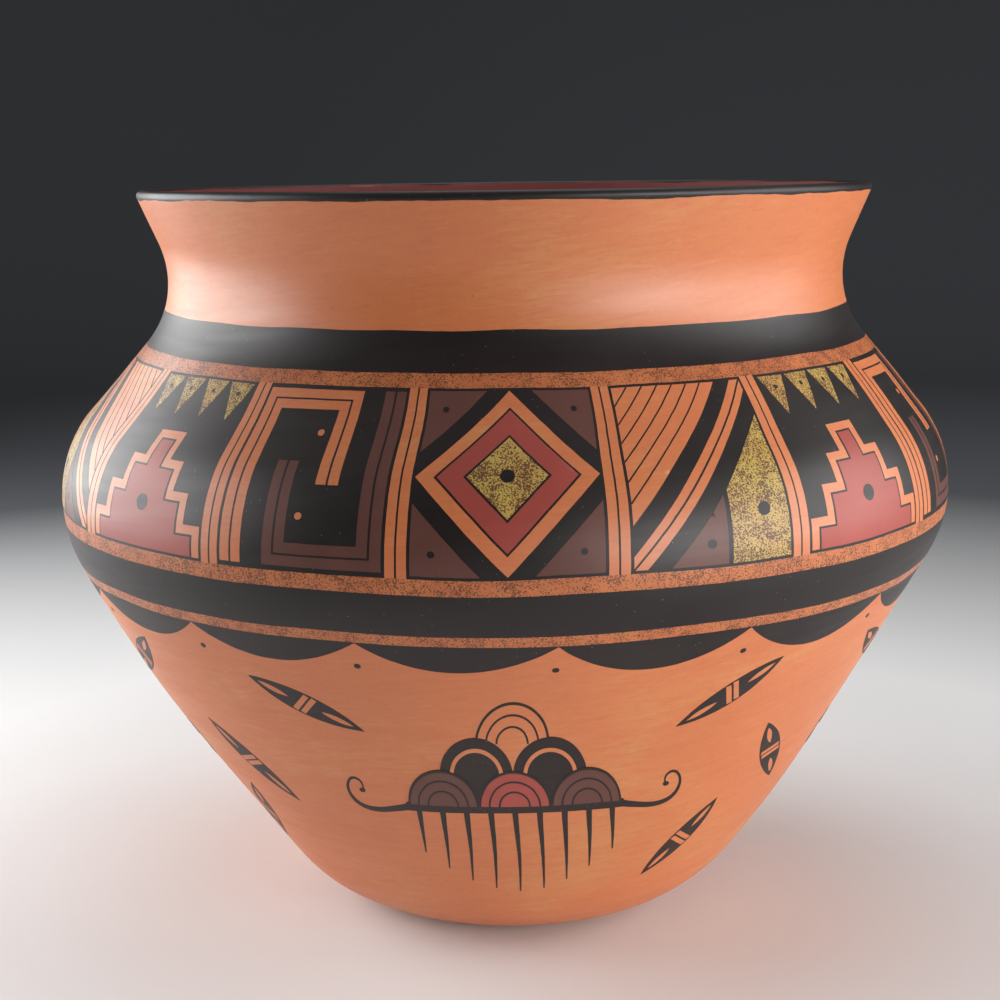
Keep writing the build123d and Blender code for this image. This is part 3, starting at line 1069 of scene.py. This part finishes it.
CLOUD_COUNT = 4
CLOUD_ANGLE = 1.0
CLOUD_HEIGHT = 0.083
CLOUD_TALL = 1.6
CLOUD_LOBE = 13.5 * MM
CLOUD_STEP = 11.5 * MM
CLOUD_LINE = 0.9 * MM
CLOUD_RINGS = (0.70, 0.42)
BLACK_LOBE_RING = 0.68
CLOUD_ROWS = [(BROWN, OXBLOOD, BROWN), (BLACK, BLACK), (CLAY,)]
LOBE_POINTS = 36
BAR_REACH = 3 * CLOUD_LOBE + MM
BAR_LOW = -2.6 * MM
BAR_HIGH = 0.4 * MM
CURL_START = complex(BAR_REACH - MM, BAR_LOW + 1.3 * MM)
CURL_TURN = 102
CURL_LENGTH = 42 * MM
CURL_TIGHTEST = 2.3 * MM
CURL_POWER = 2.2
CURL_POINTS = 60
CURL_WIDTHS = (2.6 * MM, 0.6 * MM)
CURL_DOT = 1.3 * MM
RAIN_COUNT = 9
RAIN_GAP = 9.2 * MM
RAIN_TOP = BAR_LOW + 0.5 * MM
RAIN_LENGTH = 33 * MM
RAIN_LEAST = 0.42
RAIN_SWELL = 0.58
RAIN_TURN = 20
RAIN_WIDTHS = (2.3 * MM, 0.5 * MM)

# Seeds: degrees past the cloud, height and tilt of each
SEEDS = [(29.0, 0.128, 36.0), (45.0, 0.090, -56.0), (63.0, 0.127, -28.0), (32.0, 0.055, 64.0)]
SEED_LENGTH = 0.048
SEED_WIDTH = 0.0115
SEED_POINTS = 26
SEED_BAR_WIDTH = 2.2 * MM
SEED_BAR_PLACE = 1.6 * MM
SEED_BAR_SLANT = 1.2 * MM
SEED_BAR_REACH = 0.85
SPLIT_PLACE = 0.55
SPLIT_LENGTH = 0.27
SPLIT_WIDTH = 0.22
LOWER_PIECES = {
    "lower_clay_shapes": CLAY,
    "lower_black_shapes": BLACK,
    "lower_oxblood_shapes": OXBLOOD,
    "lower_brown_shapes": BROWN,
}


def scroll(start, heading, way):
    """Path that sets off at a heading and curls up more and more tightly, leftwards where way is 1."""
    share = np.linspace(0, 1, CURL_POINTS)
    turn = way * np.cumsum(share**CURL_POWER / CURL_TIGHTEST) * CURL_LENGTH / CURL_POINTS
    ways = np.exp(1j * (radians(heading) + turn))
    return list(start + np.concatenate([[0], np.cumsum(ways[:-1])]) * CURL_LENGTH / CURL_POINTS)


def cloud_lobe(centre, radius):
    """Lobe of a cloud, round at its top, that reaches down to the bar under the cloud."""
    dome = arc(centre, radius, 0, 180, LOBE_POINTS)
    feet = [complex(centre.real - radius, 0), complex(centre.real + radius, 0)]
    return [*feet, *dome] if centre.imag else dome


def cloud_motif(chart):
    """Heap of cloud lobes on a bar that curls up at its ends, over tapering strokes of rain."""
    for row, materials in enumerate(CLOUD_ROWS):
        layer = 1 + 3 * (len(CLOUD_ROWS) - 1 - row)
        for n, material in enumerate(materials):
            centre = complex((2 * n + 1 - len(materials)) * CLOUD_LOBE, row * CLOUD_STEP)
            chart.paint(BLACK, cloud_lobe(centre, CLOUD_LOBE), layer)
            if material is BLACK:
                ring = arc(centre, CLOUD_LOBE * BLACK_LOBE_RING, 0, 180)
                chart.paint(CLAY, stroke(ring, 2 * FINE_LINE), layer + 1)
                continue
            chart.paint(material, cloud_lobe(centre, CLOUD_LOBE - CLOUD_LINE), layer + 1)
            for share in CLOUD_RINGS:
                chart.paint(BLACK, stroke(arc(centre, CLOUD_LOBE * share, 0, 180), FINE_LINE), layer + 2)
    bar = [complex(-BAR_REACH, BAR_LOW), complex(BAR_REACH, BAR_LOW)]
    bar += [complex(BAR_REACH, BAR_HIGH), complex(-BAR_REACH, BAR_HIGH)]
    chart.paint(BLACK, bar, 7)
    for side in (-1, 1):
        start = complex(side * CURL_START.real, CURL_START.imag)
        curl = scroll(start, 90 - side * CURL_TURN, side)
        chart.paint(BLACK, stroke(curl, *CURL_WIDTHS), 1)
        chart.paint(BLACK, disc(curl[-1], CURL_DOT, 1 / CLOUD_TALL), 2)
    for n in range(RAIN_COUNT):
        place = n - (RAIN_COUNT - 1) / 2
        length = RAIN_LENGTH * (RAIN_LEAST + RAIN_SWELL * cos(radians(place * RAIN_TURN)))
        top = complex(place * RAIN_GAP, RAIN_TOP)
        end = complex(place * RAIN_GAP, BAR_LOW - length)
        chart.paint(BLACK, stroke([top, end], *RAIN_WIDTHS), 1)


def pointed(middle, half, depth):
    """Outline of a seed between two arcs that meet in points."""
    lower = shallow_arc(-1j * depth, half, depth, SEED_POINTS)
    upper = [-point for point in lower]
    return [middle + point for point in [*lower, *upper[1:-1]]]


def seed_motif(chart):
    """Pointed black seed with a split of bare clay at each end, crossed by two slanting bare bars."""
    half = SEED_LENGTH / 2
    depth = SEED_WIDTH / 2
    chart.paint(BLACK, pointed(0j, half, depth), 1)
    for side in (-1, 1):
        split = pointed(side * half * SPLIT_PLACE, half * SPLIT_LENGTH, depth * SPLIT_WIDTH)
        chart.paint(CLAY, split, 2)
    reach = complex(SEED_BAR_SLANT, depth * SEED_BAR_REACH)
    for across in (-SEED_BAR_PLACE, SEED_BAR_PLACE):
        chart.paint(CLAY, stroke([across - reach, across + reach], SEED_BAR_WIDTH), 2)


def make_lower_motifs():
    """Clouds and seeds round the lower wall, joined into one piece for each colour."""
    shapes = defaultdict(list)
    for n in range(CLOUD_COUNT):
        start = CLOUD_ANGLE + 360 / CLOUD_COUNT * n
        cloud_motif(Chart(shapes, radians(start), outside_at(CLOUD_HEIGHT), tall=CLOUD_TALL))
        for turn, height, tilt in SEEDS:
            seed_motif(Chart(shapes, radians(start + turn), outside_at(height), tilt=tilt))
    for name, material in LOWER_PIECES.items():
        painted_shapes(name, shapes, material)


# Stage: camera, floor and backdrop, and lamps with their place, width, height and power

CAMERA_PLACE = (0.0, -0.7561, 0.3188)
CAMERA_PITCH = radians(10.916)
CAMERA_ROLL = radians(0.772)
CAMERA_YAW = radians(-0.188)
FOCAL_PIXELS = 1735
PICTURE_PIXELS = 1000
SENSOR = 36.0
FLOOR_RINGS = (0.4, 1.0, 1.9)
BACKDROP_ROUND = 0.9
BACKDROP_POINTS = 17
BACKDROP_TOP = 2.4
STAGE_STEPS = 128
# Floor colour: pale near the jar, then painted shade that darkens it to grey farther out, a painted falloff
# of light
PAINTED_FALLOFF_START = 0.38
PAINTED_FALLOFF_END = 1.0
PALE_FLOOR = (0.76, 0.76, 0.76)
PALER_FLOOR = (0.80, 0.80, 0.795)
PAINTED_SHADE_GREY = (0.12, 0.125, 0.135)
LAMP_AIM = (0, 0, 0.17)
LAMPS = {
    "left_softbox": ((-0.92, 0.20, 0.38), 1.10, 0.68, 14.5),
    "right_softbox": ((1.24, -0.12, 0.44), 1.0, 0.85, 11),
    "front_softbox": ((0.86, -0.92, 0.26), 0.85, 0.50, 10.5),
    "top_softbox": ((0.1, 0.35, 1.5), 1.2, 1.2, 6),
}
WORLD_COLOUR = (0.95, 0.96, 1.0, 1)
WORLD_STRENGTH = 0.15


def make_camera():
    """Camera at the photograph's place and angle."""
    data = bpy.data.cameras.new("camera")
    data.sensor_width = SENSOR
    data.lens = FOCAL_PIXELS / PICTURE_PIXELS * SENSOR
    camera = bpy.data.objects.new("camera", data)
    camera.matrix_world = Matrix.Translation(CAMERA_PLACE)
    for angle, axis in ((-CAMERA_YAW, "Z"), (pi / 2 - CAMERA_PITCH, "X"), (-CAMERA_ROLL, "Z")):
        camera.matrix_world @= Matrix.Rotation(angle, 4, axis)
    bpy.context.scene.collection.objects.link(camera)
    bpy.context.scene.camera = camera


def backdrop_material():
    """Matt floor that goes from pale to grey with the distance from the jar: painted shade, a painted
    falloff of light.
    """
    inputs = {"Roughness": 0.85, "Specular IOR Level": 0.2}
    material, tree, shader, here = new_material("backdrop_painted_falloff", inputs)
    level = stretched(tree, here, (1, 1, 0))
    away = add_node(tree, "VectorMath", {0: level}, operation="LENGTH").outputs["Value"]
    tone = noise(tree, here, 3.0)
    pale = mixed(tree, spread(tree, tone, *USUAL_NOISE), PALE_FLOOR, PALER_FLOOR)
    # Painted shade: the floor darkens from pale to grey with the distance from the jar
    colour = mixed(tree, spread(tree, away, PAINTED_FALLOFF_START, PAINTED_FALLOFF_END), pale, PAINTED_SHADE_GREY)
    tree.links.new(colour, shader.inputs["Base Color"])
    return material


def make_stage():
    """Pale floor with painted shade that darkens it with distance, curving up into a backdrop painted grey
    all the way round.
    """
    edge = FLOOR_RINGS[-1]
    rows = [complex(radius, 0) for radius in FLOOR_RINGS]
    rows += arc(complex(edge, BACKDROP_ROUND), BACKDROP_ROUND, -90, 0, BACKDROP_POINTS)[1:]
    rows += [complex(edge + BACKDROP_ROUND, BACKDROP_TOP)]
    angles = all_round(STAGE_STEPS)
    places = np.array(rows)[:, None]
    across = places.real * np.sin(angles)
    away = -places.real * np.cos(angles)
    points = np.stack(np.broadcast_arrays(across, away, places.imag), axis=-1).reshape(-1, 3)
    points = np.concatenate([points, [[0, 0, 0]]])
    faces = ring_faces(len(rows), STAGE_STEPS, closed=False)[:, ::-1]
    fan = fan_faces(len(points) - 1, 0, STAGE_STEPS, downwards=False)
    mesh = bpy.data.meshes.new("backdrop")
    mesh.from_pydata(points.tolist(), [], faces.tolist() + fan.tolist())
    mesh.materials.append(backdrop_material())
    mesh.shade_smooth()
    floor = bpy.data.objects.new("backdrop", mesh)
    bpy.context.scene.collection.objects.link(floor)


def make_light():
    """Large soft lamps that shine on the jar, and an even dim world."""
    for name, (place, width, height, power) in LAMPS.items():
        data = bpy.data.lights.new(name, "AREA")
        data.shape = "RECTANGLE"
        data.size = width
        data.size_y = height
        data.energy = power
        lamp = bpy.data.objects.new(name, data)
        lamp.location = place
        lamp.rotation_euler = (Vector(LAMP_AIM) - Vector(place)).to_track_quat("-Z", "Y").to_euler()
        lamp.visible_camera = False
        bpy.context.scene.collection.objects.link(lamp)
    world = bpy.data.worlds.new("world")
    world.use_nodes = True
    background = world.node_tree.nodes["Background"]
    background.inputs["Color"].default_value = WORLD_COLOUR
    background.inputs["Strength"].default_value = WORLD_STRENGTH
    bpy.context.scene.world = world
    bpy.context.scene.view_settings.view_transform = "Standard"


make_camera()
make_stage()
make_light()
make_clay()
make_rings()
make_scallops()
make_frieze()
make_lower_motifs()
